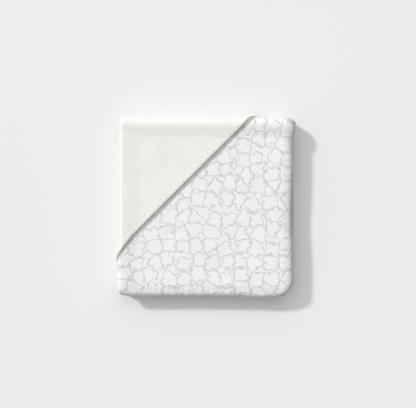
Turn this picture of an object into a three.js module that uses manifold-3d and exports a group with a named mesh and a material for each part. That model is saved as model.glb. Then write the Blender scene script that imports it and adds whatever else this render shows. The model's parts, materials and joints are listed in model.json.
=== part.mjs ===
// A hooded baby towel: a square of terry with a printed, terry-lined hood sewn over one corner and a
// corded piping round every edge, folded in thirds both ways into a flat packet.
//
// Units are millimetres. +Z is up, +X is towards the open edge of the top leaf, and +Y is towards the last
// fold, which is a hinge: the top third lifts off the other two and turns over the back edge.
//
// The towel's own grid: u runs across the towel from the hood's corner and v runs along it. Folding in
// thirds makes three columns of u (c0, c1, c2) and three rows of v (top, bottom and middle third of the
// packet), so nine leaves.

import * as THREE from "three";
import Module from "manifold-3d";
import { mergeVertices } from "three/addons/utils/BufferGeometryUtils.js";

const wasm = await Module();
wasm.setup();

// ---- Driving dimensions -----------------------------------------------------------------------------

const LEAF = 2.8; // thickness of one terry leaf as it lies in the packet
const PITCH = 3.4; // height from one leaf to the next
const LIFT_GAP = 2.5; // between the top third and the middle third, where the hood's near tip lies
const SEW_GAP = 0.2; // air left between two layers that are sewn face to face
const TOUCH_GAP = 0.3; // air left where one solid ends at another

const COLUMN = 238; // flat width of the top leaf, from its open edge to the side fold
const INNER_FOLD = 4; // how far the hidden side fold (c1 to c2) sits in from the open edge
const COLUMN_END = 234; // where the inner column's free edge stops, measured from the open edge
const ROW = 236; // flat length of the top third, from its open edge to the last fold's hinge
const FRONT_FOLD = 12; // how far the front fold's centre sits in from the open edge
const ROW_END = 226; // where the middle third's free edge stops, measured from the open edge
const CORNER = 22; // radius of the towel's corners

const HOOD_LEG = 307; // length of the hood's two sewn sides before folding
const LINING = 2.0; // terry lining of the hood
const PRINT = 0.5; // printed cotton of the hood
const SQUEEZE = 0.52; // share of its thickness that the hood keeps where the packet lies on one of its tips
const TIP_END = 6; // width left at the end of a hood tip

const PIPE = 1.5; // outside radius of the piping on the towel's edges
const MOUTH_PIPE = 2.0; // outside radius of the piping along the hood's mouth
const TAPE = 0.4; // thickness of the piping's bias tape
const CORD_GAP = 0.3; // air between the tape and the filler cord inside it
const MOUTH_BED = 0.6; // how much wider than the mouth piping its bed in the terry is, all round

const LABEL = { width: 26, length: 42, thick: 0.5, from: 70 }; // care label, under the top third

const PIPE_SIDES = 8;
const BEND_STEPS = 8; // sections in half a turn of cloth
const PIPE_STEPS = 6; // sections in half a turn of piping

// ---- Places worked out from the dimensions ----------------------------------------------------------

// Heights of the leaves' middles, bottom to top: c0, c2, c1 | c1, c2, c0 | c1, c2, c0.
const BOTTOM_C1 = LEAF / 2 + 2 * PITCH;
const MIDDLE_C1 = BOTTOM_C1 + PITCH;
const TOP_C1 = MIDDLE_C1 + 3 * PITCH + LIFT_GAP - (PITCH - LEAF);
const TOP_FACE = TOP_C1 + 2 * PITCH + LEAF / 2;
const HOOD_RISE = LINING + PRINT + 2 * SEW_GAP; // from the towel's face to the face of the print
const HOOD_FACE = TOP_FACE + HOOD_RISE;
const HINGE_Z = HOOD_FACE / 2; // so the packet lies flat on the same floor both closed and opened out
const FRONT_FOLD_Z = (BOTTOM_C1 + MIDDLE_C1) / 2;

const PIPE_OUT = TOUCH_GAP + PIPE; // from a free edge to the middle of its piping
const OUTER_BEND = PITCH + LEAF / 2 + HOOD_RISE; // outside radius of the hooded side fold
const X_SPAN = PIPE_OUT + PIPE + COLUMN + OUTER_BEND;
const Y_SPAN = PIPE_OUT + PIPE + ROW + HOOD_FACE - HINGE_Z;
const OPEN_X = X_SPAN / 2 - PIPE_OUT - PIPE; // x of the open edges
const OPEN_Y = -Y_SPAN / 2 + PIPE_OUT + PIPE; // y of the open edges
const HINGE_Y = OPEN_Y + ROW;
const SIDE_FOLD_X = OPEN_X - COLUMN;
const INNER_FOLD_X = OPEN_X - INNER_FOLD;
const FRONT_FOLD_Y = OPEN_Y + FRONT_FOLD;

// ---- Sections swept along stations ------------------------------------------------------------------

// Joins loops of points, each loop a section of [x, y, z] points, into one closed solid. contour and holes
// are the section's flat outline, which gives the two end caps.
function loft(sections, contour, holes = []) {
  const position = sections.flat(2);
  const size = sections[0].length;
  const index = [];
  let start = 0;
  for (const loop of [contour, ...holes]) {
    for (let s = 0; s + 1 < sections.length; s++) {
      for (let i = 0; i < loop.length; i++) {
        const a = s * size + start + i;
        const b = s * size + start + ((i + 1) % loop.length);
        index.push(a, b, a + size, b, b + size, a + size);
      }
    }
    start += loop.length;
  }
  const last = (sections.length - 1) * size;
  for (const [a, b, c] of THREE.ShapeUtils.triangulateShape(contour, holes)) {
    index.push(a, c, b, last + a, last + b, last + c);
  }
  const geometry = new THREE.BufferGeometry();
  geometry.setAttribute("position", new THREE.Float32BufferAttribute(position, 3));
  geometry.setIndex(index);
  return facingOut(geometry);
}

// Turns every face round if the solid came out inside out.
function facingOut(geometry) {
  if (solid(geometry).volume() > 0) return geometry;
  const index = geometry.index.array;
  for (let i = 0; i < index.length; i += 3) {
    [index[i + 1], index[i + 2]] = [index[i + 2], index[i + 1]];
  }
  return geometry;
}

function bareOf(geometry) {
  const bare = geometry.clone();
  bare.deleteAttribute("normal");
  bare.deleteAttribute("uv");
  return bare;
}

// The closed mesh as a manifold-3d solid, for cutting.
function solid(geometry) {
  const merged = mergeVertices(bareOf(geometry), 1e-3);
  return new wasm.Manifold(
    new wasm.Mesh({
      numProp: 3,
      vertProperties: merged.attributes.position.array,
      triVerts: new Uint32Array(merged.index.array),
    }),
  );
}

// body with every cutter taken away from it.
function cut(body, cutters) {
  let left = solid(body);
  for (const cutter of cutters) left = left.subtract(solid(cutter));
  const mesh = left.getMesh();
  const geometry = new THREE.BufferGeometry();
  geometry.setAttribute("position", new THREE.Float32BufferAttribute(mesh.vertProperties, 3));
  geometry.setIndex(Array.from(mesh.triVerts));
  return geometry;
}

// ---- Where the cloth goes ---------------------------------------------------------------------------

// A station on the packet's way round its front and back folds. h is the height above leaf c1 of the same
// third. turn is 0 where the cloth lies face up and PI where it has gone over the back edge, face down.
function flat(y, c1Height, faceUp) {
  const side = faceUp ? 1 : -1;
  return (x, h) => [x, y, c1Height + side * h];
}

function overTheBack(turn) {
  const grown = (1 - Math.cos(turn)) / 2; // the bend is tighter at the top, where the hood adds its thickness
  const radius = THREE.MathUtils.lerp(TOP_C1 - HINGE_Z, HINGE_Z - BOTTOM_C1, grown);
  return (x, h) => [
    x,
    HINGE_Y + (radius + h) * Math.sin(turn),
    HINGE_Z + (radius + h) * Math.cos(turn),
  ];
}

function roundTheFront(turn) {
  const radius = (MIDDLE_C1 - BOTTOM_C1) / 2;
  return (x, h) => [
    x,
    FRONT_FOLD_Y - (radius + h) * Math.sin(turn),
    FRONT_FOLD_Z - (radius + h) * Math.cos(turn),
  ];
}

const steps = (count, from, to) =>
  Array.from({ length: count + 1 }, (_, i) => from + ((to - from) * i) / count);

const backEnd = HINGE_Y - TOUCH_GAP; // where the flat thirds stop short of the hinge
const bendClear = TOUCH_GAP / 8; // half the angle, in radians, left open at each end of the bend

const topThird = [flat(OPEN_Y, TOP_C1, true), flat(backEnd, TOP_C1, true)];
const backBend = steps(BEND_STEPS, bendClear, Math.PI - bendClear).map(overTheBack);
const lowerThirds = [
  flat(backEnd, BOTTOM_C1, false),
  ...steps(BEND_STEPS, 0, Math.PI).map(roundTheFront),
  flat(OPEN_Y + ROW_END, MIDDLE_C1, true),
];

// ---- The terry square -------------------------------------------------------------------------------

// The three columns of one third, seen end on: c0 on top, round the side fold to c1 at the bottom, and
// round the inner fold to c2 between them. x is the part's x and y is the height above c1's middle.
function thirdSection() {
  const half = LEAF / 2;
  const shape = new THREE.Shape();
  shape.moveTo(OPEN_X, 2 * PITCH + half);
  shape.lineTo(SIDE_FOLD_X, 2 * PITCH + half);
  shape.absarc(SIDE_FOLD_X, PITCH, PITCH + half, Math.PI / 2, (3 * Math.PI) / 2, false);
  shape.absarc(INNER_FOLD_X, PITCH / 2, PITCH / 2 + half, -Math.PI / 2, Math.PI / 2, false);
  shape.lineTo(OPEN_X - COLUMN_END, PITCH + half);
  shape.lineTo(OPEN_X - COLUMN_END, PITCH - half);
  shape.absarc(INNER_FOLD_X, PITCH / 2, PITCH / 2 - half, Math.PI / 2, -Math.PI / 2, true);
  shape.absarc(SIDE_FOLD_X, PITCH, PITCH - half, (3 * Math.PI) / 2, Math.PI / 2, true);
  shape.lineTo(OPEN_X, 2 * PITCH - half);
  return shape.getPoints(5);
}

function terry(stations) {
  const contour = thirdSection();
  return loft(
    stations.map((place) => contour.map((p) => place(p.x, p.y))),
    contour,
  );
}

// ---- The hood, sewn over the corner of c0 -----------------------------------------------------------

// Every place function below takes a point of the hood's own cloth: u and v from the hood's corner along
// its two sewn sides, and rise above the towel's face. The hood is squeezed where it is under something.
const squeezed = (turn) => THREE.MathUtils.lerp(1, SQUEEZE, (1 - Math.cos(turn)) / 2);

const SIDE_BEND = PITCH + LEAF / 2 + HOOD_RISE / 2; // radius of the hood's middle at the side fold
const SIDE_TIP = COLUMN + Math.PI * SIDE_BEND; // u where the cloth is flat again, under the top third
const BACK_BEND = HINGE_Z - HOOD_RISE / 2; // radius in the middle of the hood's cloth at the last fold
const BACK_TIP = ROW + Math.PI * BACK_BEND; // v where the cloth is flat again, under the packet

function hoodOnTop(u, v, rise) {
  const turn = THREE.MathUtils.clamp((u - COLUMN) / SIDE_BEND, 0, Math.PI);
  const radius = PITCH + LEAF / 2 + rise * squeezed(turn);
  const x = SIDE_FOLD_X + Math.max(0, COLUMN - u) + Math.max(0, u - SIDE_TIP);
  return [x - radius * Math.sin(turn), OPEN_Y + v, TOP_C1 + PITCH + radius * Math.cos(turn)];
}

function hoodOverBack(u, v, rise) {
  const turn = THREE.MathUtils.clamp((v - ROW) / BACK_BEND, 0, Math.PI);
  const radius = HINGE_Z - squeezed(turn) * (HOOD_RISE - rise);
  return [OPEN_X - u, HINGE_Y + radius * Math.sin(turn), HINGE_Z + radius * Math.cos(turn)];
}

function hoodUnderneath(u, v, rise) {
  return [OPEN_X - u, HINGE_Y - TOUCH_GAP - (v - BACK_TIP), SQUEEZE * (HOOD_RISE - rise)];
}

// How far the rounded corner cuts into the hood at distance u from its side.
const cornerCut = (u) => (u < CORNER ? CORNER - Math.sqrt(CORNER ** 2 - (CORNER - u) ** 2) : 0);

const quad = [
  new THREE.Vector2(0, 0),
  new THREE.Vector2(1, 0),
  new THREE.Vector2(1, 1),
  new THREE.Vector2(0, 1),
];

const topStations = [
  ...steps(5, 0.8, CORNER),
  HOOD_LEG - ROW,
  ...steps(BEND_STEPS, COLUMN, SIDE_TIP),
  HOOD_LEG - TIP_END,
];
const backStations = steps(BEND_STEPS, ROW, BACK_TIP);
const tipStations = [BACK_TIP, HOOD_LEG - TIP_END];

// One hood layer on the top third, between two heights above the towel's face. Its stations go along u.
function hoodLayerOnTop(from, to) {
  return loft(
    topStations.map((u) => {
      const near = cornerCut(u);
      const far = Math.min(HOOD_LEG - u, ROW - TOUCH_GAP);
      return [
        hoodOnTop(u, near, from),
        hoodOnTop(u, far, from),
        hoodOnTop(u, far, to),
        hoodOnTop(u, near, to),
      ];
    }),
    quad,
  );
}

// One hood layer along v, over the last fold or underneath. margin widens it, for cutting its bed.
function hoodLayerAlong(place, stations, from, to, margin = 0) {
  return loft(
    stations.map((v) => {
      const far = HOOD_LEG - v + margin;
      return [
        place(-margin, v, from),
        place(far, v, from),
        place(far, v, to),
        place(-margin, v, to),
      ];
    }),
    quad,
  );
}

// ---- Piping -----------------------------------------------------------------------------------------

const ring = (radius) =>
  steps(PIPE_SIDES - 1, 0, (2 * Math.PI * (PIPE_SIDES - 1)) / PIPE_SIDES).map(
    (angle) => new THREE.Vector2(radius * Math.cos(angle), radius * Math.sin(angle)),
  );

// A round tube along a list of points, hollow where inner isn't 0. Its rings keep their direction along
// the route, so that the tube doesn't twist.
function tube(route, outer, inner = 0) {
  const points = route.map((p) => new THREE.Vector3(...p));
  const tangents = points.map((_, i) =>
    points[Math.min(i + 1, points.length - 1)]
      .clone()
      .sub(points[Math.max(i - 1, 0)])
      .normalize(),
  );
  const side = new THREE.Vector3(0.31, 0.57, 0.76).cross(tangents[0]).normalize();
  const contour = ring(outer);
  const holes = inner ? [ring(inner).reverse()] : [];
  const sections = points.map((point, i) => {
    side.addScaledVector(tangents[i], -side.dot(tangents[i])).normalize();
    const up = tangents[i].clone().cross(side);
    return [contour, ...holes]
      .flat()
      .map((p) => point.clone().addScaledVector(side, p.x).addScaledVector(up, p.y).toArray());
  });
  return loft(sections, contour, holes);
}

// The part from angle a to b of a round route in a plane: centre + radius * (cos, sin) on two axes.
function arc(centre, first, second, radius, a, b, count = PIPE_STEPS) {
  return steps(count, a, b).map((angle) =>
    centre.map(
      (c, k) => c + radius * (first[k] * Math.cos(angle) + second[k] * Math.sin(angle)),
    ),
  );
}

const EAST = [1, 0, 0];
const WEST = [-1, 0, 0];
const NORTH = [0, 1, 0];
const SOUTH = [0, -1, 0];
const UP = [0, 0, 1];
const DOWN = [0, 0, -1];

const QUARTER = Math.PI / 2;
const eastPipe = OPEN_X + PIPE_OUT; // x of the piping on the open edges
const southPipe = OPEN_Y - PIPE_OUT; // y of the piping on the top third's open edges
const northPipe = OPEN_Y + ROW_END + PIPE_OUT; // y of the piping on the middle third's free edges
const innerPipe = OPEN_X - COLUMN_END - PIPE_OUT; // x of the piping on column c2's free edge
const turnRadius = CORNER + PIPE_OUT; // of the piping's middle at a towel corner
const floorPipe = Math.max(PIPE, LEAF / 2); // lowest height at which the piping's middle may lie

// From the last fold down the open side, round the hood's corner, along the three leaves of the front edge,
// and back along c2's free edge to the last fold.
function topPipingRoute() {
  const c0 = TOP_C1 + 2 * PITCH;
  const c2 = TOP_C1 + PITCH;
  const hoodCorner = [eastPipe - turnRadius, southPipe + turnRadius, c0];
  const innerCorner = [innerPipe + turnRadius, southPipe + turnRadius, c2];
  return [
    [eastPipe, backEnd, c0],
    ...arc(hoodCorner, EAST, SOUTH, turnRadius, 0, QUARTER),
    ...arc([SIDE_FOLD_X, southPipe, c2], UP, WEST, PITCH, 0, Math.PI),
    ...arc([INNER_FOLD_X, southPipe, TOP_C1 + PITCH / 2], DOWN, EAST, PITCH / 2, 0, Math.PI),
    ...arc(innerCorner, SOUTH, WEST, turnRadius, 0, QUARTER),
    [innerPipe, backEnd, c2],
  ];
}

// From the last fold along the open side at the bottom, round the front fold, along the three leaves of the
// middle third's free edge, and back round the front fold along c2's free edge.
function lowerPipingRoute() {
  const c0 = MIDDLE_C1 + 2 * PITCH;
  const c2 = MIDDLE_C1 + PITCH;
  const openCorner = [eastPipe - turnRadius, northPipe - turnRadius, c0];
  const innerCorner = [innerPipe + turnRadius, northPipe - turnRadius, c2];
  const frontRadius = PITCH / 2 + 2 * PITCH;
  return [
    [eastPipe, backEnd, floorPipe],
    ...arc([eastPipe, FRONT_FOLD_Y, FRONT_FOLD_Z], DOWN, SOUTH, frontRadius - 0.1, 0, Math.PI),
    ...arc(openCorner, EAST, NORTH, turnRadius, 0, QUARTER),
    ...arc([SIDE_FOLD_X, northPipe, c2], UP, WEST, PITCH, 0, Math.PI),
    ...arc([INNER_FOLD_X, northPipe, MIDDLE_C1 + PITCH / 2], DOWN, EAST, PITCH / 2, 0, Math.PI),
    ...arc(innerCorner, NORTH, WEST, turnRadius, 0, QUARTER),
    ...arc([innerPipe, FRONT_FOLD_Y, FRONT_FOLD_Z], UP, SOUTH, frontRadius - PITCH, 0, Math.PI),
    [innerPipe, backEnd, BOTTOM_C1 - PITCH],
  ];
}

// The piping of one column's side edge over the last fold, at height h above c1.
const pipingOverBack = (x, h) =>
  steps(BEND_STEPS, bendClear, Math.PI - bendClear).map((turn) => overTheBack(turn)(x, h));

const mouthOut = TOUCH_GAP + MOUTH_PIPE; // from the hood's slanting edge to the middle of its piping

// The piping along the hood's mouth, as rings in the hood's own cloth. along lists u and v at each ring's
// middle, and sink says how far the piping is pressed into the towel there.
function mouthPiping(place, along, outer, inner, sink) {
  const contour = ring(outer);
  const holes = inner ? [ring(inner).reverse()] : [];
  const sections = along.map(([u, v]) =>
    [contour, ...holes].flat().map((p) => {
      const out = (mouthOut + p.x) * Math.SQRT1_2;
      return place(u + out, v + out, SEW_GAP + MOUTH_PIPE + p.y - sink(v));
    }),
  );
  return loft(sections, contour, holes);
}

const mouthShift = (mouthOut + MOUTH_PIPE) * Math.SQRT1_2; // furthest that the piping reaches along u or v
const PROUD = SEW_GAP + 2 * MOUTH_PIPE - HOOD_RISE; // how far it stands out of the print

const mouthOnTop = [
  HOOD_LEG - TIP_END,
  ...steps(2 * PIPE_STEPS, SIDE_TIP, COLUMN - mouthShift),
  HOOD_LEG - ROW + TOUCH_GAP + mouthShift,
].map((u) => [u, HOOD_LEG - u]);
const overBack = (from, to) => steps(BEND_STEPS, from, to).map((v) => [HOOD_LEG - v, v]);
const mouthOverBack = overBack(ROW + 1, BACK_TIP - mouthShift - 1.5);
const mouthBedOverBack = overBack(ROW + 0.2, BACK_TIP - mouthShift - 0.2);
const mouthUnderneath = [BACK_TIP + 0.2, HOOD_LEG - TIP_END].map((v) => [HOOD_LEG - v, v]);

const noSink = () => 0;
const backSink = (v) => {
  const turn = THREE.MathUtils.clamp((v - ROW) / BACK_BEND, 0, Math.PI);
  return (PROUD * (1 - Math.cos(turn))) / 2;
};

// ---- Rounded corners of the terry square ------------------------------------------------------------

// What a rounded corner takes off the leaf at height z. toX and toY, each 1 or -1, point into the cloth.
function cornerCutter(x, y, toX, toY, z) {
  const shape = new THREE.Shape();
  shape.moveTo(-1, -1);
  shape.lineTo(CORNER, -1);
  shape.lineTo(CORNER, 0);
  shape.absarc(CORNER, CORNER, CORNER, -QUARTER, Math.PI, true);
  shape.lineTo(-1, CORNER);
  const settings = { depth: PITCH - 0.1, bevelEnabled: false, curveSegments: 5 };
  const prism = new THREE.ExtrudeGeometry(shape, settings);
  prism.scale(toX, toY, 1);
  return facingOut(mergeVertices(bareOf(prism), 1e-3).translate(x, y, z - PITCH / 2 + 0.05));
}

// ---- The nodes --------------------------------------------------------------------------------------

const cloth = (color, roughness) =>
  new THREE.MeshStandardMaterial({ color, roughness, metalness: 0 });
const TERRY = cloth(0xf1f1ea, 1.0);
const PRINTED = cloth(0xf2f2f4, 0.85);
const PIPING = cloth(0xb4b4b0, 0.8);
const CORD = cloth(0xe8e6e0, 0.95);
const SATIN = cloth(0xfafafa, 0.45);

const towel = new THREE.Group();

function add(name, geometry, material) {
  const mesh = new THREE.Mesh(geometry, material);
  mesh.name = name;
  towel.add(mesh);
  return mesh;
}

// Piping is a bias tape sewn round a filler cord, so each run is two solids.
function addPiping(name, route) {
  add(name + "_tape", tube(route, PIPE, PIPE - TAPE), PIPING);
  add(name + "_cord", tube(route, PIPE - TAPE - CORD_GAP), CORD);
}

function addMouthPiping(name, place, along, sink) {
  add(name + "_tape", mouthPiping(place, along, MOUTH_PIPE, MOUTH_PIPE - TAPE, sink), PIPING);
  add(name + "_cord", mouthPiping(place, along, MOUTH_PIPE - TAPE - CORD_GAP, 0, sink), CORD);
}

const liningRise = [SEW_GAP, SEW_GAP + LINING];
const printRise = [2 * SEW_GAP + LINING, HOOD_RISE];

// The terry square, in the three pieces that the last fold's hinge parts it into. The hood's far tip and
// its piping press a bed into the last fold and into the leaf underneath.
const c0 = 2 * PITCH;
const innerEnd = OPEN_X - COLUMN_END;
const bed = [-0.2, HOOD_RISE + 1];
add(
  "terry_top_third",
  cut(terry(topThird), [
    cornerCutter(OPEN_X, OPEN_Y, -1, 1, TOP_C1 + c0),
    cornerCutter(innerEnd, OPEN_Y, 1, 1, TOP_C1 + PITCH),
  ]),
  TERRY,
);
add(
  "terry_last_fold",
  cut(terry(backBend), [
    hoodLayerAlong(hoodOverBack, backStations, ...bed, mouthOut * Math.SQRT2),
    mouthPiping(hoodOverBack, mouthBedOverBack, MOUTH_PIPE + MOUTH_BED, 0, backSink),
  ]),
  TERRY,
);
add(
  "terry_lower_thirds",
  cut(terry(lowerThirds), [
    cornerCutter(OPEN_X, OPEN_Y + ROW_END, -1, -1, MIDDLE_C1 + c0),
    cornerCutter(innerEnd, OPEN_Y + ROW_END, 1, -1, MIDDLE_C1 + PITCH),
    hoodLayerAlong(hoodUnderneath, [BACK_TIP - 1, HOOD_LEG - TIP_END + 0.5], ...bed, mouthOut * Math.SQRT2),
    mouthPiping(
      hoodUnderneath,
      [BACK_TIP - 3, HOOD_LEG - TIP_END + 0.5].map((v) => [HOOD_LEG - v, v]),
      MOUTH_PIPE + MOUTH_BED,
      0,
      backSink,
    ),
  ]),
  TERRY,
);

add("hood_lining", hoodLayerOnTop(...liningRise), TERRY);
add("hood_print", hoodLayerOnTop(...printRise), PRINTED);
add("hood_lining_fold", hoodLayerAlong(hoodOverBack, backStations, ...liningRise), TERRY);
add("hood_print_fold", hoodLayerAlong(hoodOverBack, backStations, ...printRise), PRINTED);
add("hood_lining_tip", hoodLayerAlong(hoodUnderneath, tipStations, ...liningRise), TERRY);
add("hood_print_tip", hoodLayerAlong(hoodUnderneath, tipStations, ...printRise), PRINTED);

addPiping("edge_piping_top", topPipingRoute());
addPiping("edge_piping_lower", lowerPipingRoute());
addPiping("edge_piping_fold_open_side", pipingOverBack(eastPipe, c0 - 0.1));
addPiping("edge_piping_fold_inner_side", pipingOverBack(innerPipe, PITCH));
addMouthPiping("mouth_piping", hoodOnTop, mouthOnTop, noSink);
addMouthPiping("mouth_piping_fold", hoodOverBack, mouthOverBack, backSink);
addMouthPiping("mouth_piping_tip", hoodUnderneath, mouthUnderneath, backSink);

const label = new THREE.BoxGeometry(LABEL.width, LABEL.length, LABEL.thick);
const labelFace = TOP_C1 - LEAF / 2 - SEW_GAP;
label.translate(
  OPEN_X - LABEL.from,
  OPEN_Y + LABEL.length / 2 + TOUCH_GAP,
  labelFace - LABEL.thick / 2,
);
add("care_label", label, SATIN);

export default towel;
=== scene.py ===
"""A hooded baby towel, folded in thirds both ways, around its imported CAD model.

Every piece of cloth is modelled flat, on the towel's own grid, and then folded. u runs across the
towel from the hood's corner, v runs along it, and both are metres on the flat cloth. n is the height
off the cloth's middle plane, towards the side that the hood is sewn to. fold() and drape() take flat
cloth to the packet, and settle() gives the packet the slack and the soft edges of real cloth.
"""

import json
import math

import bpy
import numpy as np
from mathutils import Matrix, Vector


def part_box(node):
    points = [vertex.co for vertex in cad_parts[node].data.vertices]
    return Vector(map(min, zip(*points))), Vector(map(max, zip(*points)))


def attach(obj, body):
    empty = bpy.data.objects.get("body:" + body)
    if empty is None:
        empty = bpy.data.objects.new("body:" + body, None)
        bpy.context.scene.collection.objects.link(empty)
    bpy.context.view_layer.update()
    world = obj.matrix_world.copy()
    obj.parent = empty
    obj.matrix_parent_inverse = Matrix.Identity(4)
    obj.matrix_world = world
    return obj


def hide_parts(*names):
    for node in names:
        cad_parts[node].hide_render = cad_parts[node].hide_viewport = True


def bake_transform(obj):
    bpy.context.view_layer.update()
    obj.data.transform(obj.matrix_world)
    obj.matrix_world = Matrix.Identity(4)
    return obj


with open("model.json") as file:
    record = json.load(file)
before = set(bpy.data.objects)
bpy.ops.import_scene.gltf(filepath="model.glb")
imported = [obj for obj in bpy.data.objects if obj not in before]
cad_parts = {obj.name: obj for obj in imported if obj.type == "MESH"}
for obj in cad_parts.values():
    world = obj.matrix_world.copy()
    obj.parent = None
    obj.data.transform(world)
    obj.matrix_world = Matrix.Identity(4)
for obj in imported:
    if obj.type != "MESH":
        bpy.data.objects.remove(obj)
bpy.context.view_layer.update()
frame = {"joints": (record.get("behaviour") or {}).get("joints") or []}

# ---- Driving dimensions, in metres ---------------------------------------------------------------

MM = 0.001
LEAF = 2.8 * MM  # one terry leaf
PITCH = 3.4 * MM  # from one leaf to the next
PILE = 1.45 * MM  # half the thickness of a leaf with its loops
COLUMN = 238 * MM  # flat width of the top leaf
INNER_FOLD = 4 * MM  # the hidden side fold, in from the open edge
COLUMN_END = 234 * MM  # the inner column's free edge, from the open edge
ROW = 236 * MM  # flat length of the top third
FRONT_FOLD = 12 * MM  # the front fold's centre, in from the open edge
ROW_END = 226 * MM  # the middle third's free edge, from the open edge
CORNER = 22 * MM  # radius of the towel's corners
EDGE = 0.8 * MM  # how far the cloth runs on into the piping

HOOD_LEG = 307 * MM  # the hood's sewn sides
HOOD_RISE = 2.9 * MM  # height of the print's face over the towel's face
LINING = 2.0 * MM
PRINT = 0.45 * MM
SQUEEZE = 0.52  # share of the hood's thickness left where the packet lies on it
PLY_GAP = 0.06 * MM  # air between two layers that are sewn together

PIPE = 1.5 * MM  # radius of the edge piping
PIPE_OUT = 1.8 * MM  # from the CAD cloth's edge to the middle of its piping
MOUTH_PIPE = 2.0 * MM
MOUTH_OUT = 2.3 * MM
FLANGE = 2.9 * MM  # width of the mouth tape's flat part, sewn down on the print
TAPE = 0.4 * MM
LABEL_WIDTH = 26 * MM
LABEL_LENGTH = 42 * MM
LABEL_FROM = 70 * MM
LABEL_THICK = 0.5 * MM

# ---- Places in the packet ------------------------------------------------------------------------

top_low, top_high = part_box("terry_top_third")
hinge = frame["joints"][0]["pos_m"]
OPEN_X = top_high.x
OPEN_Y = top_low.y
HINGE_Y = hinge[1]
HINGE_Z = hinge[2]
TOP_C1 = top_low.z + LEAF / 2
BOTTOM_C1 = LEAF / 2 + 2 * PITCH
MIDDLE_C1 = BOTTOM_C1 + PITCH
FRONT_Y = OPEN_Y + FRONT_FOLD
FRONT_Z = (BOTTOM_C1 + MIDDLE_C1) / 2
SIDE_X = OPEN_X - COLUMN
INNER_X = OPEN_X - INNER_FOLD
TOP_Z = 2 * HINGE_Z

# The flat cloth's own stations along u and v, from one fold to the next.
U_SIDE = COLUMN
U_C1 = U_SIDE + math.pi * PITCH
U_INNER = U_C1 + INNER_X - SIDE_X
U_C2 = U_INNER + math.pi * PITCH / 2
U_END = U_C2 + COLUMN_END - INNER_FOLD
BACK_LENGTH = 36 * MM  # flat length of the cloth in the last fold
FRONT_LENGTH = 16 * MM  # and in the front fold
V_BACK = ROW
V_BOTTOM = V_BACK + BACK_LENGTH
V_FRONT = V_BOTTOM + HINGE_Y - FRONT_Y
V_MIDDLE = V_FRONT + FRONT_LENGTH
V_END = V_MIDDLE + ROW_END - FRONT_FOLD

SIDE_BEND = PITCH + LEAF / 2 + HOOD_RISE / 2
SIDE_TIP = COLUMN + math.pi * SIDE_BEND
BACK_BEND = HINGE_Z - HOOD_RISE / 2
BACK_TIP = ROW + math.pi * BACK_BEND


def smooth(x, a, b):
    """0 below a, 1 above b, and an even S between."""
    t = np.clip((x - a) / (b - a), 0, 1)
    return t * t * (3 - 2 * t)


def noise_table(seed):
    return np.random.default_rng(seed).random((128, 128)) * 2 - 1


def noise(x, y, cell, seed):
    """Smooth random height from -1 to 1, with bumps about one cell apart."""
    table = noise_table(seed)
    gx, gy = x / cell + 61.7, y / cell + 37.3
    ix, iy = np.floor(gx).astype(int), np.floor(gy).astype(int)
    fx, fy = smooth(gx - ix, 0, 1), smooth(gy - iy, 0, 1)
    a = table[ix % 128, iy % 128]
    b = table[(ix + 1) % 128, iy % 128]
    c = table[ix % 128, (iy + 1) % 128]
    d = table[(ix + 1) % 128, (iy + 1) % 128]
    return (a * (1 - fx) + b * fx) * (1 - fy) + (c * (1 - fx) + d * fx) * fy


# ---- Folding -------------------------------------------------------------------------------------


def back_turn(v):
    """Angle round the last fold of the towel's cloth: 0 on the top third and pi on the bottom third."""
    return np.clip((v - V_BACK) / BACK_LENGTH, 0, 1) * math.pi


def squeezed(turn):
    return 1 + (SQUEEZE - 1) * (1 - np.cos(turn)) / 2


def fold(u, v, n):
    """The point of the folded packet where the towel's cloth point (u, v, n) lies."""
    side = np.clip((u - U_SIDE) / PITCH, 0, math.pi)
    inner = np.clip((u - U_INNER) / (PITCH / 2), 0, math.pi)
    outer_x = SIDE_X + np.maximum(0, U_SIDE - u) + np.maximum(0, u - U_C1) - (PITCH + n) * np.sin(side)
    inner_x = INNER_X + (PITCH / 2 + n) * np.sin(inner) - np.maximum(0, u - U_C2)
    x = np.where(u <= U_INNER, outer_x, inner_x)
    outer_h = PITCH + (PITCH + n) * np.cos(side)
    inner_h = PITCH / 2 - (PITCH / 2 + n) * np.cos(inner)
    h = np.where(u <= U_INNER, outer_h, inner_h)

    turn = back_turn(v)
    grown = (1 - np.cos(turn)) / 2
    radius = (TOP_C1 - HINGE_Z) * (1 - grown) + (HINGE_Z - BOTTOM_C1) * grown
    hood_v = np.minimum(v, ROW) + turn * BACK_BEND + np.maximum(0, v - V_BOTTOM)
    under_hood = smooth(HOOD_LEG + 8 * MM - u - hood_v, 0, 8 * MM)
    excess = radius + 2 * PITCH + LEAF / 2 - HINGE_Z + squeezed(turn) * HOOD_RISE
    share = np.clip((h + LEAF / 2) / (2 * PITCH + LEAF), 0, 1.1)
    r = radius + h - under_hood * excess * share
    lower_run = np.clip(v - V_BOTTOM, 0, V_FRONT - V_BOTTOM)
    back_y = OPEN_Y + np.minimum(v, V_BACK) + r * np.sin(turn) - lower_run
    back_z = HINGE_Z + r * np.cos(turn)

    front = np.clip((v - V_FRONT) / FRONT_LENGTH, 0, 1) * math.pi
    front_y = FRONT_Y - (PITCH / 2 + h) * np.sin(front) + np.maximum(0, v - V_MIDDLE)
    front_z = FRONT_Z - (PITCH / 2 + h) * np.cos(front)
    y = np.where(v <= V_FRONT, back_y, front_y)
    z = np.where(v <= V_FRONT, back_z, front_z)
    return np.stack([x, y, z], -1)


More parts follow.
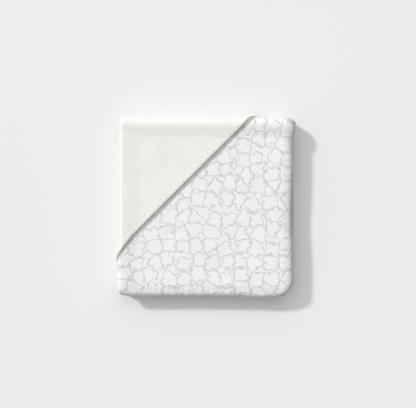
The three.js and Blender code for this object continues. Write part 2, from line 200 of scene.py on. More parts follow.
def drape(u, v, rise):
    """Where the hood's cloth point lies: u and v on the hood's own cloth, and rise over the towel's face."""
    side = np.clip((u - COLUMN) / SIDE_BEND, 0, math.pi)
    back = np.clip((v - ROW) / BACK_BEND, 0, math.pi)
    radius = PITCH + LEAF / 2 + rise * squeezed(side)
    x = SIDE_X + np.maximum(0, COLUMN - u) + np.maximum(0, u - SIDE_TIP) - radius * np.sin(side)
    top_z = TOP_C1 + PITCH + radius * np.cos(side)
    r = HINGE_Z - squeezed(back) * (HOOD_RISE - rise)
    y = OPEN_Y + np.minimum(v, ROW) + r * np.sin(back) - np.maximum(0, v - BACK_TIP)
    z = np.where(v <= ROW, top_z, HINGE_Z + r * np.cos(back))
    return np.stack([x, y, z], -1)


LEFT_X = SIDE_X - PITCH - LEAF / 2
BACK_Y = HINGE_Y + HINGE_Z
SAG = 1.4 * MM  # how far the middle of the packet lies under its rolled edges
LEFT_ROLL = 1.0 * MM
BACK_ROLL = 1.7 * MM
EDGE_DROP = 4.4 * MM
ROLL_POWER = 2.6  # 2 would make the back roll's section a half circle
LOWER_TOP = TOP_C1 + PITCH + LEAF / 2  # upper face of the leaves that lie under the top one

# How far the sides of the settled packet leave the ruled outline, at most.
RIGHT_IN = 1.6 * MM  # the open right side, drawn in
RIGHT_WAIST = 2.2 * MM  # drawn in further near its middle
RIGHT_BACK_OUT = 3.2 * MM  # let out again at the back
LEFT_BULGE = 1.8 * MM  # where the hood lies over the left roll
FRONT_BULGE = 2.3 * MM
FRONT_IN = 2.0 * MM
FRONT_CORNER_IN = 3.0 * MM  # at the front's left end
MOUTH_PULL = 10 * MM
SEAM_IN = 3.0 * MM
LEAF_SHIFT_X = 0.8 * MM
LEAF_SHIFT_Y = 0.7 * MM


def bell(x, centre, width):
    return np.exp(-(((x - centre) / width) ** 2))


def relax_heights(x, y, z):
    """The open edges droop, the folded edges stand up in soft rolls, and the middle sags between them."""
    up = np.clip(z / TOP_Z, 0, 1.1)
    to_right = OPEN_X + PIPE_OUT + PIPE - x
    to_front = y - (OPEN_Y - PIPE_OUT - PIPE)
    droop_right = np.clip(1 - to_right / (15 * MM), 0, 1) ** 1.5
    droop_front = np.clip(1 - to_front / (19 * MM), 0, 1) ** 1.5
    droop = np.maximum(droop_right, droop_front) + 0.35 * np.minimum(droop_right, droop_front)
    roll_left = 1 - smooth(x - LEFT_X, 4 * MM, 30 * MM)
    roll_back = 1 - smooth(BACK_Y - y, 12 * MM, 32 * MM)
    rolls = np.maximum((SAG + LEFT_ROLL) * roll_left, (SAG + BACK_ROLL) * roll_back)
    waves = 0.7 * MM * noise(x, y, 62 * MM, 3) + 0.35 * MM * noise(x, y, 27 * MM, 4)
    return z - EDGE_DROP * droop * up**1.5 + (rolls - SAG + waves) * up**2


def square_back_roll(y, z):
    """Thick cloth bends more sharply at the top and bottom of a roll than a half circle does."""
    a = np.maximum(y - HINGE_Y, 0)
    b = z - HINGE_Z
    length = np.maximum(np.hypot(a, b), 0.01 * MM)
    share = ((a / length) ** ROLL_POWER + (np.abs(b) / length) ** ROLL_POWER) ** (-1 / ROLL_POWER)
    return np.where(y > HINGE_Y, HINGE_Y + a * share, y), np.where(y > HINGE_Y, HINGE_Z + b * share, z)


def round_lower_corners(x, y, z):
    """The leaves under the top one have soft corners too, at the front."""
    lower = 1 - smooth(z, LOWER_TOP + 0.1 * MM, LOWER_TOP + 0.5 * MM)
    for side, limit, radius in ((1, OPEN_X + PIPE_OUT, 27 * MM), (-1, -LEFT_X, 9 * MM)):
        a = side * x - limit + radius
        b = OPEN_Y - PIPE_OUT + radius - y
        inside = (a > 0) & (b > 0)
        length = np.where(inside, np.hypot(a, b), 1)
        share = np.where(inside, np.maximum(a, b) / length, 1)
        x = x + side * np.where(inside, a * (share - 1), 0) * lower
        y = y - np.where(inside, b * (share - 1), 0) * lower
    return x, y


def settle(points):
    """Moves the packet's points to where the slack and weight of real cloth take them."""
    x, y, z = points[:, 0], points[:, 1], points[:, 2]
    y, z = square_back_roll(y, z)
    new_z = np.maximum(relax_heights(x, y, z), 0)
    new_x, new_y = round_lower_corners(x, y, z)

    # The outline isn't ruled: each side bows a little, and the hood's thicker side bulges.
    right = smooth(x, 0.02, OPEN_X)
    left = smooth(-x, 0.02, -LEFT_X)
    front = smooth(-y, 0.02, -OPEN_Y)
    top_third = smooth(z, 18 * MM, 23 * MM)
    new_x = new_x - right * (RIGHT_IN + RIGHT_WAIST * bell(y, -8 * MM, 42 * MM) * top_third)
    at_back = smooth(y, BACK_Y - 30 * MM, BACK_Y - 8 * MM)
    new_x = new_x + RIGHT_BACK_OUT * right * top_third * at_back
    fade = 1 - 0.7 * smooth(-y, 0.09, 0.125)
    new_x = new_x - LEFT_BULGE * left * smooth(-y, 0.045, 0.075) * fade
    new_y = new_y - FRONT_BULGE * front * bell(x, 80 * MM, 26 * MM) * top_third
    new_y = new_y + FRONT_IN * front * top_third
    new_y = new_y + FRONT_CORNER_IN * front * top_third * smooth(-x, 0.100, 0.122)

    # The hood's mouth is pulled towards the front where it nears the left roll.
    near_left = np.clip((-0.096 - x) / 0.026, 0, 1.2)
    pull = near_left**2 * bell(y, -0.062, 0.034) * smooth(z, 10 * MM, 24 * MM)
    new_y = new_y - MOUTH_PULL * pull

    # At the back of the open side the last fold's edge is drawn in by its seam.
    seam = smooth(x, OPEN_X - 10 * MM, OPEN_X + 1 * MM)
    new_y = new_y - SEAM_IN * seam * smooth(y, HINGE_Y - 30 * MM, HINGE_Y + 6 * MM)

    # Leaves never line up exactly.
    new_x = new_x + LEAF_SHIFT_X * np.sin(z / (2.3 * MM) + y * 21) * right * (1 - top_third)
    new_y = new_y + LEAF_SHIFT_Y * np.sin(z / (2.6 * MM) + x * 25) * front * (1 - top_third)
    return np.stack([new_x, new_y, new_z], -1)


# ---- Meshes --------------------------------------------------------------------------------------


def stations(*runs):
    """Positions along one side of the cloth: each run is (start, end, step), and runs follow one another."""
    found = [np.linspace(a, b, max(1, round((b - a) / step)), endpoint=False) for a, b, step in runs]
    return np.append(np.concatenate(found), runs[-1][1])


def round_corner(p, q):
    """Takes the square corner at p = q = 0 to the towel's rounded one."""
    radius = CORNER + EDGE
    a, b = radius - p, radius - q
    inside = (a > 0) & (b > 0)
    length = np.where(inside, np.hypot(a, b), 1)
    share = np.where(inside, np.maximum(a, b) / length, 1)
    return np.where(inside, radius - a * share, p), np.where(inside, radius - b * share, q)


def make_object(name, points, faces, uvs, material):
    mesh = bpy.data.meshes.new(name)
    mesh.from_pydata(points.tolist(), [], faces)
    mesh.validate()
    layer = mesh.uv_layers.new(name="Cloth")
    loops = np.zeros(len(mesh.loops), np.int32)
    mesh.loops.foreach_get("vertex_index", loops)
    layer.data.foreach_set("uv", uvs[loops].astype(np.float32).ravel())
    mesh.materials.append(material)
    mesh.shade_smooth()
    piece = bpy.data.objects.new(name, mesh)
    bpy.context.scene.collection.objects.link(piece)
    return piece


def closed_sheet(name, top, under, faces, uvs, material):
    """A sheet with two faces, from the same grid of faces at two heights, joined all round its rim."""
    count = len(top)
    edges = {}
    for face in faces:
        for a, b in zip(face, face[1:] + face[:1]):
            if (b, a) in edges:
                del edges[(b, a)]
            else:
                edges[(a, b)] = True
    below = [tuple(count + i for i in reversed(face)) for face in faces]
    rim = [(b, a, count + a, count + b) for a, b in edges]
    points = np.concatenate([top, under])
    return make_object(name, points, faces + below + rim, np.concatenate([uvs, uvs]), material)


def tube(name, rings, uvs, material):
    """A closed tube through rings, an array of sections by points round each by 3."""
    count, around = rings.shape[:2]
    faces = []
    for i in range(count - 1):
        for j in range(around):
            k = (j + 1) % around
            faces.append((i * around + j, i * around + k, (i + 1) * around + k, (i + 1) * around + j))
    faces.append(tuple(reversed(range(around))))
    faces.append(tuple(range((count - 1) * around, count * around)))
    return make_object(name, rings.reshape(-1, 3), faces, uvs.reshape(-1, 2), material)


def edge_swell(distance, width):
    """How far a layer has filled out, from 0 in the seam to 1 at width from it, along an elliptic arc."""
    t = 1 - np.clip(distance / width, 0, 1)
    return np.sqrt(np.maximum(0, 1 - t * t))


def follow_fold(piece):
    """Bakes the piece's transform into its mesh.
    """
    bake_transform(piece)


# ---- Materials -----------------------------------------------------------------------------------


class Nodes:
    """Short calls for building one material's node tree."""

    def __init__(self, name):
        self.material = bpy.data.materials.new(name)
        self.material.use_nodes = True
        self.tree = self.material.node_tree
        self.tree.nodes.clear()
        self.shader = self.add("ShaderNodeBsdfPrincipled")
        output = self.add("ShaderNodeOutputMaterial")
        self.join(self.shader.outputs[0], output.inputs[0])

    def add(self, kind, **settings):
        node = self.tree.nodes.new(kind)
        for key, value in settings.items():
            setattr(node, key, value)
        return node

    def join(self, source, target):
        self.tree.links.new(source, target)

    def put(self, socket, value):
        if isinstance(value, bpy.types.NodeSocket):
            self.join(value, socket)
        else:
            socket.default_value = value

    def math(self, operation, a, b=0.0, c=0.0):
        node = self.add("ShaderNodeMath", operation=operation)
        for socket, value in zip(node.inputs, (a, b, c)):
            self.put(socket, value)
        return node.outputs[0]

    def vector(self, operation, a, b=(0, 0, 0), scale=None):
        node = self.add("ShaderNodeVectorMath", operation=operation)
        self.put(node.inputs[0], a)
        if scale is not None:
            self.put(node.inputs["Scale"], scale)
        else:
            self.put(node.inputs[1], b)
        return node.outputs["Value" if operation in ("LENGTH", "DISTANCE") else "Vector"]

    def cloth(self):
        return self.add("ShaderNodeUVMap", uv_map="Cloth").outputs[0]

    def noise(self, vector, size, detail=2.0, roughness=0.5, colour=False):
        node = self.add("ShaderNodeTexNoise", noise_dimensions="2D")
        self.put(node.inputs["Vector"], vector)
        node.inputs["Scale"].default_value = 1 / size
        node.inputs["Detail"].default_value = detail
        node.inputs["Roughness"].default_value = roughness
        return node.outputs["Color" if colour else "Fac"]

    def cells(self, vector, size, feature="F1", randomness=1.0):
        node = self.add("ShaderNodeTexVoronoi", voronoi_dimensions="2D", feature=feature)
        self.put(node.inputs["Vector"], vector)
        node.inputs["Scale"].default_value = 1 / size
        node.inputs["Randomness"].default_value = randomness
        return node

    def between(self, value, low, high, colour_low, colour_high):
        """A colour that runs from one to the other as value goes from low to high."""
        ramp = self.add("ShaderNodeValToRGB")
        ramp.color_ramp.interpolation = "EASE"
        ramp.color_ramp.elements[0].position = low
        ramp.color_ramp.elements[0].color = (*colour_low, 1)
        ramp.color_ramp.elements[1].position = high
        ramp.color_ramp.elements[1].color = (*colour_high, 1)
        self.put(ramp.inputs[0], value)
        return ramp.outputs[0]

    def mix(self, factor, a, b):
        node = self.add("ShaderNodeMix", data_type="RGBA", blend_type="MIX")
        self.put(node.inputs[0], factor)
        self.put(node.inputs[6], a)
        self.put(node.inputs[7], b)
        return node.outputs[2]

    def bump(self, height, distance, strength=1.0, normal=None):
        node = self.add("ShaderNodeBump")
        node.inputs["Strength"].default_value = strength
        node.inputs["Distance"].default_value = distance
        self.put(node.inputs["Height"], height)
        if normal is not None:
            self.join(normal, node.inputs["Normal"])
        return node.outputs[0]

    def finish(self, colour, roughness, normal=None, sheen=0.0, sheen_roughness=0.5):
        self.put(self.shader.inputs["Base Color"], colour)
        self.shader.inputs["Roughness"].default_value = roughness
        self.shader.inputs["Specular IOR Level"].default_value = 0.2
        self.shader.inputs["Sheen Weight"].default_value = sheen
        self.shader.inputs["Sheen Roughness"].default_value = sheen_roughness
        if normal is not None:
            self.join(normal, self.shader.inputs["Normal"])
        return self.material


TERRY_LIGHT = (0.868, 0.858, 0.818)
TERRY_DARK = (0.80, 0.79, 0.748)
PRINT_GROUND = (0.835, 0.835, 0.848)
PRINT_LINE = (0.635, 0.63, 0.64)
TAPE_LIGHT = (0.52, 0.52, 0.485)
TAPE_DARK = (0.43, 0.43, 0.40)

PEBBLE = 21 * MM  # width of one cell of the print
PEBBLE_SPREAD = 0.62  # how far pebbles stray from an even grid
LINE_INNER = 0.022  # in cells, where the line starts to fade
LINE_OUTER = 0.085  # and where it has faded out


def terry_material():
    """Looped cotton pile: rows of loops about 1.3 mm apart, in soft clumps, with painted shade in the gaps
    between loops.
    """
    m = Nodes("terry_pile")
    cloth = m.cloth()
    wander = m.vector("SCALE", m.noise(cloth, 6 * MM, colour=True), scale=1.1 * MM)
    at = m.vector("ADD", cloth, wander)
    loops = m.cells(at, 1.35 * MM, randomness=0.8).outputs["Distance"]
    clumps = m.noise(cloth, 3.6 * MM, detail=3, roughness=0.6)
    patches = m.noise(cloth, 26 * MM, detail=2)
    # The colour is darker in the gaps between loops, which is painted shade there, and varies at random with
    # the clumps and patches.
    gap_shade_and_clumps = m.math("MULTIPLY_ADD", loops, -0.75, m.math("MULTIPLY", clumps, 1.1))
    gap_shade_and_tone = m.math("MULTIPLY_ADD", patches, 0.35, gap_shade_and_clumps)
    colour = m.between(gap_shade_and_tone, 0.05, 0.75, TERRY_DARK, TERRY_LIGHT)
    fine = m.bump(loops, -0.9 * MM, strength=0.35)
    normal = m.bump(clumps, 1.4 * MM, strength=0.3, normal=fine)
    return m.finish(colour, 0.98, normal, sheen=0.03, sheen_roughness=0.6)


def pebble_edge(m, at, size):
    """Distance inside the edge of the nearest pebble, in cells.

    Each cell of a loose grid holds one pebble, a round outline with two sets of soft lobes, turned by
    the cell's own random values and cut off where it meets another.
    """
    found = m.cells(at, size, "F1", PEBBLE_SPREAD)
    border = m.cells(at, size, "DISTANCE_TO_EDGE", PEBBLE_SPREAD).outputs["Distance"]
    offset = m.vector("SCALE", m.vector("SUBTRACT", at, found.outputs["Position"]), scale=1 / size)
    arm = m.add("ShaderNodeSeparateXYZ")
    m.join(offset, arm.inputs[0])
    own = m.add("ShaderNodeSeparateColor")
    m.join(found.outputs["Color"], own.inputs[0])
    angle = m.math("ARCTAN2", arm.outputs[1], arm.outputs[0])
    four = m.math("MULTIPLY", angle, 4.0)
    seven = m.math("MULTIPLY", angle, 7.0)
    lobes = m.math("COSINE", m.math("MULTIPLY_ADD", own.outputs[0], 6.28, four))
    ripple = m.math("COSINE", m.math("MULTIPLY_ADD", own.outputs[1], 6.28, seven))
    reach = m.math("MULTIPLY_ADD", own.outputs[2], 0.10, 0.50)
    wave = m.math("MULTIPLY_ADD", lobes, 0.095, m.math("MULTIPLY", ripple, 0.035))
    radius = m.math("ADD", reach, wave)
    inside = m.math("SUBTRACT", radius, m.vector("LENGTH", offset))
    return m.math("SMOOTH_MIN", inside, border, 0.05)


def print_material():
    """Woven cotton, white, with lobed pebbles drawn in thin soft grey outlines."""
    m = Nodes("printed_cotton")
    cloth = m.cloth()
    drift = m.noise(cloth, 7.5 * MM, detail=0.0, colour=True)
    sway = m.vector("SUBTRACT", drift, (0.5, 0.5, 0.5))
    at = m.vector("ADD", cloth, m.vector("SCALE", sway, scale=6.5 * MM))
    off = m.math("ABSOLUTE", pebble_edge(m, at, PEBBLE))
    line = m.between(off, LINE_INNER, LINE_OUTER, (1, 1, 1), (0, 0, 0))
    colour = m.mix(line, (*PRINT_GROUND, 1), (*PRINT_LINE, 1))
    weave = m.add("ShaderNodeTexChecker")
    weave.inputs["Scale"].default_value = 1 / (0.45 * MM)
    m.join(cloth, weave.inputs["Vector"])
    threads = m.bump(weave.outputs["Fac"], 0.05 * MM, strength=0.3)
    creases = m.noise(cloth, 9 * MM, detail=4, roughness=0.6)
    normal = m.bump(creases, 1.4 * MM, strength=0.25, normal=threads)
    return m.finish(colour, 0.85, normal, sheen=0.02)


def tape_material():
    """Grey bias tape, with its weave slanting round the cord and a faint uneven pull."""
    m = Nodes("piping_tape")
    cloth = m.cloth()
    turned = m.add("ShaderNodeMapping")
    turned.inputs["Rotation"].default_value = (0, 0, math.radians(45))
    m.join(cloth, turned.inputs["Vector"])
    weave = m.add("ShaderNodeTexChecker")
    weave.inputs["Scale"].default_value = 1 / (0.5 * MM)
    m.join(turned.outputs[0], weave.inputs["Vector"])
    wear = m.noise(cloth, 5 * MM, detail=3)
    colour = m.between(wear, 0.3, 0.7, TAPE_DARK, TAPE_LIGHT)
    threads = m.bump(weave.outputs["Fac"], 0.08 * MM, strength=0.4)
    normal = m.bump(wear, 0.8 * MM, strength=0.3, normal=threads)
    return m.finish(colour, 0.8, normal, sheen=0.05)


def cord_material():
    """Undyed cotton cord, twisted."""
    m = Nodes("filler_cord")
    twist = m.add("ShaderNodeTexWave", wave_type="BANDS", bands_direction="DIAGONAL")
    twist.inputs["Scale"].default_value = 1 / (6 * MM)
    m.join(m.cloth(), twist.inputs["Vector"])
    colour = m.between(twist.outputs["Fac"], 0.2, 0.8, (0.66, 0.64, 0.58), (0.80, 0.78, 0.73))
    return m.finish(colour, 0.95, m.bump(twist.outputs["Fac"], 0.2 * MM))


def satin_material():
    """Blank white satin tape."""
    m = Nodes("label_satin")
    ribs = m.add("ShaderNodeTexWave", wave_type="BANDS", bands_direction="X")
    ribs.inputs["Scale"].default_value = 1 / (2.5 * MM)
    m.join(m.cloth(), ribs.inputs["Vector"])
    colour = m.between(ribs.outputs["Fac"], 0.1, 0.9, (0.86, 0.86, 0.86), (0.91, 0.91, 0.91))
    return m.finish(colour, 0.4, m.bump(ribs.outputs["Fac"], 0.04 * MM), sheen=0.1)


# ---- The towel -----------------------------------------------------------------------------------

TERRY_MATERIAL = terry_material()
PRINT_MATERIAL = print_material()
TAPE_MATERIAL = tape_material()
CORD_MATERIAL = cord_material()
SATIN_MATERIAL = satin_material()

FINE = 2.0 * MM
COARSE = 4.6 * MM
U_LINES = stations(
    (-EDGE, 6 * MM, 0.9 * MM),
    (6 * MM, U_SIDE, FINE),
    (U_SIDE, U_C1, 0.9 * MM),
    (U_C1, U_INNER, COARSE),
    (U_INNER, U_C2, 0.7 * MM),
    (U_C2, U_END - 6 * MM, COARSE),
    (U_END - 6 * MM, U_END + EDGE, 1.2 * MM),
)
V_LINES = stations(
    (-EDGE, 6 * MM, 0.9 * MM),
    (6 * MM, V_BACK, FINE),
    (V_BACK, V_BOTTOM, 1.3 * MM),
    (V_BOTTOM, V_FRONT, COARSE),
    (V_FRONT, V_MIDDLE, 0.9 * MM),
    (V_MIDDLE, V_END - 6 * MM, COARSE),
    (V_END - 6 * MM, V_END + EDGE, 1.2 * MM),
)


def from_edge(u, v):
    """Distance of the towel's cloth point from its nearest edge, as if its corners were square."""
    return np.minimum(np.minimum(u, U_END - u), np.minimum(v, V_END - v)) + EDGE


def towel_corners(u, v):
    """Takes the square grid of the towel to its outline with four rounded corners."""
    far_u, far_v = u > U_END / 2, v > V_END / 2
    p = np.where(far_u, U_END - u, u) + EDGE
    q = np.where(far_v, V_END - v, v) + EDGE
    p, q = round_corner(p, q)
    return np.where(far_u, U_END - p + EDGE, p - EDGE), np.where(far_v, V_END - q + EDGE, q - EDGE)


def pile_height(u, v, seed):
    """The terry's clumps of loops, as height over the leaf's face."""
    return 0.09 * MM * noise(u, v, 3.4 * MM, seed) + 0.09 * MM * noise(u, v, 6.5 * MM, seed + 1)


def build_terry():
    u, v = (a.ravel() for a in np.meshgrid(U_LINES, V_LINES, indexing="ij"))
    swell = np.maximum(edge_swell(from_edge(u, v), 6 * MM), 0.2)
    u, v = towel_corners(u, v)
    front = (PILE + pile_height(u, v, 11)) * swell
    back = -(PILE + pile_height(u, v, 21)) * swell
    rows, columns = len(U_LINES), len(V_LINES)
    faces = []
    for i in range(rows - 1):
        for j in range(columns - 1):
            a = i * columns + j
            faces.append((a, a + columns, a + columns + 1, a + 1))
    uvs = np.stack([u, v], -1)
    top = settle(fold(u, v, front))
    under = settle(fold(u, v, back))
    piece = closed_sheet("terry_square", top, under, faces, uvs, TERRY_MATERIAL)
    follow_fold(piece)
    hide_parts("terry_top_third", "terry_last_fold", "terry_lower_thirds")
    return piece


# ---- The hood ------------------------------------------------------------------------------------

MOUTH_TUCK = 1.0 * MM  # how far the hood's layers run on into the mouth piping
GATHER = 0.75 * MM  # height of the gathers along the hood's seams
DIMPLE = 1.3 * MM  # depth of the one soft dent in the hood


def hood_grid(count):
    """The hood's triangle as (p, q) from its square corner, and its faces. Its long side is the mouth."""
    step = (HOOD_LEG + 2 * EDGE + MOUTH_TUCK * math.sqrt(2)) / count
    index = {}
    places = []
    for i in range(count + 1):
        for j in range(count + 1 - i):
            index[i, j] = len(places)
            places.append((i * step, j * step))
    faces = []
    for i in range(count):
        for j in range(count - i):
            a, b, d = index[i, j], index[i + 1, j], index[i, j + 1]
            if i + j == count - 1:
                faces.append((a, b, d))
            else:
                faces.append((a, b, index[i + 1, j + 1], d))
    grid = np.array(places)
    return grid[:, 0], grid[:, 1], faces


def pucker(along, distance, reach, length, seed):
    """Small gathers across a seam, fading out over reach."""
    phase = 2 * math.pi * along / length + 2.6 * noise(along, along * 0 + seed * MM, 3 * length, seed)
    size = 0.6 + 0.6 * noise(along, along * 0 - seed * MM, 4 * length, seed + 1)
    return np.sin(phase) * size * np.exp(-distance / reach)


def hood_faces(p, q):
    """u and v of hood points, and the heights of the lining's and the print's two faces."""
    edge = np.minimum(p, q)
    mouth = (HOOD_LEG + 2 * EDGE - p - q) / math.sqrt(2)
    u, v = round_corner(p, q)
    u, v = u - EDGE, v - EDGE
    seam = edge_swell(edge, 6 * MM)
    full = edge_swell(edge, 5.5 * MM)
    towel = (PILE + 0.15 * MM) * np.maximum(seam, 0.2) - LEAF / 2
    lip = 0.35 + 0.65 * edge_swell(mouth + MOUTH_TUCK, 5 * MM)
    gathers = pucker(v, p, 9 * MM, 10 * MM, 31) + pucker(u, q, 9 * MM, 9 * MM, 41)
    gathers = gathers + 0.6 * pucker(u - v, np.maximum(0, mouth), 7 * MM, 11 * MM, 51)
    slack = 0.30 * MM * noise(u, v, 38 * MM, 61) + 0.16 * MM * noise(u, v, 15 * MM, 62)
    dimple = DIMPLE * np.exp(-((u - 171 * MM) ** 2 + (v - 86 * MM) ** 2) / (9 * MM) ** 2)
    loose = GATHER * gathers * np.minimum(1, edge / (3 * MM)) + slack - dimple
    thick = LINING * full * lip + (loose + 0.1 * MM) * np.minimum(full, 1) * lip
    lining_low = towel + PLY_GAP
    lining_high = lining_low + np.maximum(0.15 * MM, thick)
    print_low = lining_high + PLY_GAP
    print_high = print_low + PRINT * (0.35 + 0.65 * full)
    return u, v, (lining_low, lining_high), (print_low, print_high)


def hood_turn(v):
    return np.clip((v - ROW) / BACK_BEND, 0, math.pi)


def build_hood_layer(name, count, layer, material):
    p, q, faces = hood_grid(count)
    found = hood_faces(p, q)
    u, v = found[0], found[1]
    low, high = found[layer]
    uvs = np.stack([u, v], -1)
    piece = closed_sheet(name, settle(drape(u, v, high)), settle(drape(u, v, low)), faces, uvs, material)
    follow_fold(piece)
    return piece


def build_hood():
    lining = build_hood_layer("hood_lining_terry", 110, 2, TERRY_MATERIAL)
    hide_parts("hood_lining", "hood_lining_fold", "hood_lining_tip")
    panel = build_hood_layer("hood_printed_panel", 236, 3, PRINT_MATERIAL)
    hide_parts("hood_print", "hood_print_fold", "hood_print_tip")
    return lining, panel


# ---- Piping --------------------------------------------------------------------------------------

AROUND = 12
PIPE_DROP = 0.7 * MM  # how far the edge piping hangs under the middle of the terry, away from the hood
CORNER_STEPS = 12


def edge_route():
    """Round the towel's outline: cloth points on the edge and the direction out of the cloth at each."""
    inner_u = U_LINES[(U_LINES > CORNER) & (U_LINES < U_END - CORNER)]
    inner_v = V_LINES[(V_LINES > CORNER) & (V_LINES < V_END - CORNER)]
    quarter = np.linspace(0, math.pi / 2, CORNER_STEPS)
    at, out = [], []

    def side(us, vs, direction):
        for u, v in zip(us, vs):
            at.append((u, v))
            out.append(direction)

    def corner(u, v, start):
        for angle in start + quarter:
            way = (math.cos(angle), math.sin(angle))
            at.append((u + CORNER * way[0], v + CORNER * way[1]))
            out.append(way)

    side(inner_u, inner_u * 0, (0, -1))
    corner(U_END - CORNER, CORNER, -math.pi / 2)
    side(inner_v * 0 + U_END, inner_v, (1, 0))
    corner(U_END - CORNER, V_END - CORNER, 0)
    side(inner_u[::-1], inner_u * 0 + V_END, (0, 1))
    corner(CORNER, V_END - CORNER, math.pi / 2)
    side(inner_v * 0, inner_v[::-1], (-1, 0))
    corner(CORNER, CORNER, math.pi)
    at.append(at[0])
    out.append(out[0])
    return np.array(at), np.array(out)


def ring_shape(radius, along, seed):
    """Angles round a tube, and its radius at each section and angle, a little uneven like sewn tape."""
    angle = np.arange(AROUND) * 2 * math.pi / AROUND
    uneven = 0.06 * noise(along[:, None], 3 * MM * angle[None, :], 6 * MM, seed)
    return angle, radius * (1 + uneven)


def build_edge_tube(name, radius, material, seed):
    at, out = edge_route()
    along = np.append(0, np.cumsum(np.hypot(*np.diff(at, axis=0).T)))
    angle, radii = ring_shape(radius, along, seed)
    reach = PIPE_OUT + radii * np.cos(angle)
    u = at[:, :1] + out[:, :1] * reach
    v = at[:, 1:] + out[:, 1:] * reach
    n = radii * np.sin(angle) - PIPE_DROP
    rings = settle(fold(u.ravel(), v.ravel(), n.ravel())).reshape(*u.shape, 3)
    uvs = np.stack(np.broadcast_arrays(along[:, None], radius * angle[None, :]), -1)
    piece = tube(name, rings[:, ::-1], uvs[:, ::-1], material)
    follow_fold(piece)
    return piece


def build_edge_piping():
    tape = build_edge_tube("edge_piping_sleeve", PIPE, TAPE_MATERIAL, 71)
    cord = build_edge_tube("edge_piping_filler", PIPE - TAPE - 0.2 * MM, CORD_MATERIAL, 72)
    runs = (
        "edge_piping_top",
        "edge_piping_lower",
        "edge_piping_fold_open_side",
        "edge_piping_fold_inner_side",
    )
    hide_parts(*(run + "_tape" for run in runs))
    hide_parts(*(run + "_cord" for run in runs))
    return tape, cord


def mouth_stations():
    over = 1.5 * MM
    return stations(
        (-over, 60 * MM, 1.4 * MM),
        (60 * MM, 90 * MM, 0.9 * MM),
        (90 * MM, ROW - 8 * MM, 1.6 * MM),
        (ROW - 8 * MM, HOOD_LEG + over, 1.2 * MM),
    )


def mouth_middle(v):
    """Height of the mouth piping's middle over the towel, lower at its two ends and under the packet."""
    sink = (2 * MOUTH_PIPE + 0.2 * MM - HOOD_RISE) * (1 - np.cos(hood_turn(v))) / 2
    end = edge_swell(np.maximum(0, np.minimum(HOOD_LEG - v, v)) + EDGE, 9 * MM)
    return (0.2 * MM + MOUTH_PIPE - sink + LEAF / 2) * end - LEAF / 2


def mouth_loop(name, v, reach, rise, around, material):
    """A closed tube along the mouth, one row a section. reach is out of the hood, rise over the towel."""
    ring_u = HOOD_LEG - v[:, None] + reach * math.sqrt(0.5)
    ring_v = v[:, None] + reach * math.sqrt(0.5)
    rings = settle(drape(ring_u.ravel(), ring_v.ravel(), rise.ravel())).reshape(*ring_u.shape, 3)
    uvs = np.stack(np.broadcast_arrays(v[:, None] * math.sqrt(2), around[None, :]), -1)
    piece = tube(name, rings, uvs, material)
    follow_fold(piece)
    return piece


def build_mouth_cord():
    radius = MOUTH_PIPE - TAPE - 0.2 * MM
    v = mouth_stations()
    angle, radii = ring_shape(radius, v * math.sqrt(2), 82)
    reach = MOUTH_OUT + radii * np.cos(angle)
    rise = mouth_middle(v)[:, None] + radii * np.sin(angle)
    return mouth_loop("mouth_piping_filler", v, reach, rise, radius * angle, CORD_MATERIAL)


def build_mouth_tape():
    """Tape round the cord, and its flat part, which runs down on to the print and is sewn there."""
    v = mouth_stations()
    angle = np.radians(np.linspace(-150, 150, 14))
    radii = MOUTH_PIPE * (1 + 0.05 * noise(v[:, None], 3 * MM * angle[None, :], 6 * MM, 81))
    round_reach = MOUTH_OUT + radii * np.cos(angle)
    round_rise = mouth_middle(v)[:, None] + radii * np.sin(angle)
    over = np.array([0.2, 0.45, 0.75, 1.0])
    share = np.concatenate([over, over[::-1]])
    above = np.repeat([0.28 * MM, -0.12 * MM], len(over))
    flat_reach = np.broadcast_to(-FLANGE * share, (len(v), len(share)))
    p = HOOD_LEG - v[:, None] + flat_reach * math.sqrt(0.5) + EDGE
    q = v[:, None] + flat_reach * math.sqrt(0.5) + EDGE
    found = hood_faces(np.maximum(p, 0).ravel(), np.maximum(q, 0).ravel())
    print_high = found[3][1].reshape(p.shape)
    reach = np.concatenate([round_reach, flat_reach], 1)
    rise = np.concatenate([round_rise, print_high + above], 1)
    around = np.concatenate([MOUTH_PIPE * angle, MOUTH_PIPE * angle[-1] + 0.8 * MM + FLANGE * share])
    return mouth_loop("mouth_piping_sleeve", v, reach, rise, around, TAPE_MATERIAL)


def build_mouth_piping():
    tape = build_mouth_tape()
    cord = build_mouth_cord()
    runs = ("mouth_piping", "mouth_piping_fold", "mouth_piping_tip")
    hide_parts(*(run + "_tape" for run in runs))
    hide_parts(*(run + "_cord" for run in runs))
    return tape, cord


# ---- The care label ------------------------------------------------------------------------------


def build_label():
    """A blank satin label, sewn into the edge under the top third."""
    columns, rows = 14, 22
    across = np.linspace(0, LABEL_WIDTH, columns)
    down = np.linspace(0, LABEL_LENGTH, rows)
    s, t = (a.ravel() for a in np.meshgrid(across, down, indexing="ij"))
    u = U_INNER - LABEL_FROM + INNER_FOLD - LABEL_WIDTH / 2 + s
    curl = 0.25 * MM * np.sin(t / LABEL_LENGTH * 5) * smooth(t, 4 * MM, 20 * MM)
    base = LEAF / 2 + 0.3 * MM + 0.4 * MM + curl
    top = settle(fold(u, t, base + LABEL_THICK / 2))
    under = settle(fold(u, t, base - LABEL_THICK / 2))
    faces = []
    for i in range(columns - 1):
        for j in range(rows - 1):
            a = i * rows + j
            faces.append((a, a + rows, a + rows + 1, a + 1))
    piece = closed_sheet("care_label_blank", top, under, faces, np.stack([s, t], -1), SATIN_MATERIAL)
    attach(piece, "top_third")
    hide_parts("care_label")
    return piece


# ---- Floor, light and camera ---------------------------------------------------------------------


FLOOR_HALF = 40.0  # wide enough that its edge stays out of a low side view


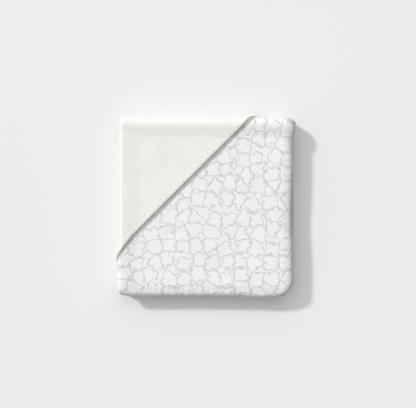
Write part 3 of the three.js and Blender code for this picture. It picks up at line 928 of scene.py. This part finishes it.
def build_floor():
    m = Nodes("floor_paint")
    position = m.add("ShaderNodeTexCoord").outputs["Object"]
    colour = m.between(m.noise(position, 900 * MM), 0.3, 0.7, (0.80, 0.80, 0.803), (0.815, 0.815, 0.818))
    material = m.finish(colour, 0.9)
    half = FLOOR_HALF
    corners = [(-half, -half, 0), (half, -half, 0), (half, half, 0), (-half, half, 0)]
    mesh = bpy.data.meshes.new("floor")
    mesh.from_pydata(corners, [], [(0, 1, 2, 3)])
    mesh.materials.append(material)
    floor = bpy.data.objects.new("floor", mesh)
    bpy.context.scene.collection.objects.link(floor)


KEY_PLAN = math.atan2(0.58, -0.815)  # where the key light comes from, seen from above
KEY_HEIGHT = math.radians(35)
KEY_STRENGTH = 1.88
WASH_PLAN = math.atan2(1.0, -0.25)
WASH_HEIGHT = math.radians(58)
WASH_STRENGTH = 0.93
SKY_STRENGTH = 0.445


def build_lamp(name, plan, height, strength, spread):
    light = bpy.data.lights.new(name, "SUN")
    light.energy = strength
    light.angle = math.radians(spread)
    lamp = bpy.data.objects.new(name, light)
    lamp.rotation_euler = (0, math.pi / 2 - height, plan)
    bpy.context.scene.collection.objects.link(lamp)


def build_light():
    """A key from the back left, a wide soft wash from the back, and an even sky."""
    build_lamp("key", KEY_PLAN, KEY_HEIGHT, KEY_STRENGTH, 6)
    build_lamp("wash", WASH_PLAN, WASH_HEIGHT, WASH_STRENGTH, 70)
    world = bpy.data.worlds.new("studio")
    world.use_nodes = True
    sky = world.node_tree.nodes["Background"]
    sky.inputs["Color"].default_value = (1.0, 0.995, 0.98, 1)
    sky.inputs["Strength"].default_value = SKY_STRENGTH
    bpy.context.scene.world = world


FRAME_WIDTH = 582 * MM  # what the camera sees across, at the packet's top
CAMERA_DISTANCE = 1.45
CAMERA_AT = (2.8 * MM, 4.2 * MM)


def build_camera():
    camera = bpy.data.cameras.new("camera")
    camera.sensor_fit = "HORIZONTAL"
    camera.sensor_width = 36
    camera.lens = 36 * CAMERA_DISTANCE / FRAME_WIDTH
    rig = bpy.data.objects.new("camera", camera)
    rig.location = (*CAMERA_AT, TOP_Z + CAMERA_DISTANCE)
    bpy.context.scene.collection.objects.link(rig)
    bpy.context.scene.camera = rig


bpy.context.scene.view_settings.view_transform = "Standard"
bpy.context.scene.view_settings.look = "None"

terry = build_terry()
hood_lining, hood_panel = build_hood()
edge_tape, edge_cord = build_edge_piping()
mouth_tape, mouth_cord = build_mouth_piping()
care_label = build_label()
build_floor()
build_light()
build_camera()
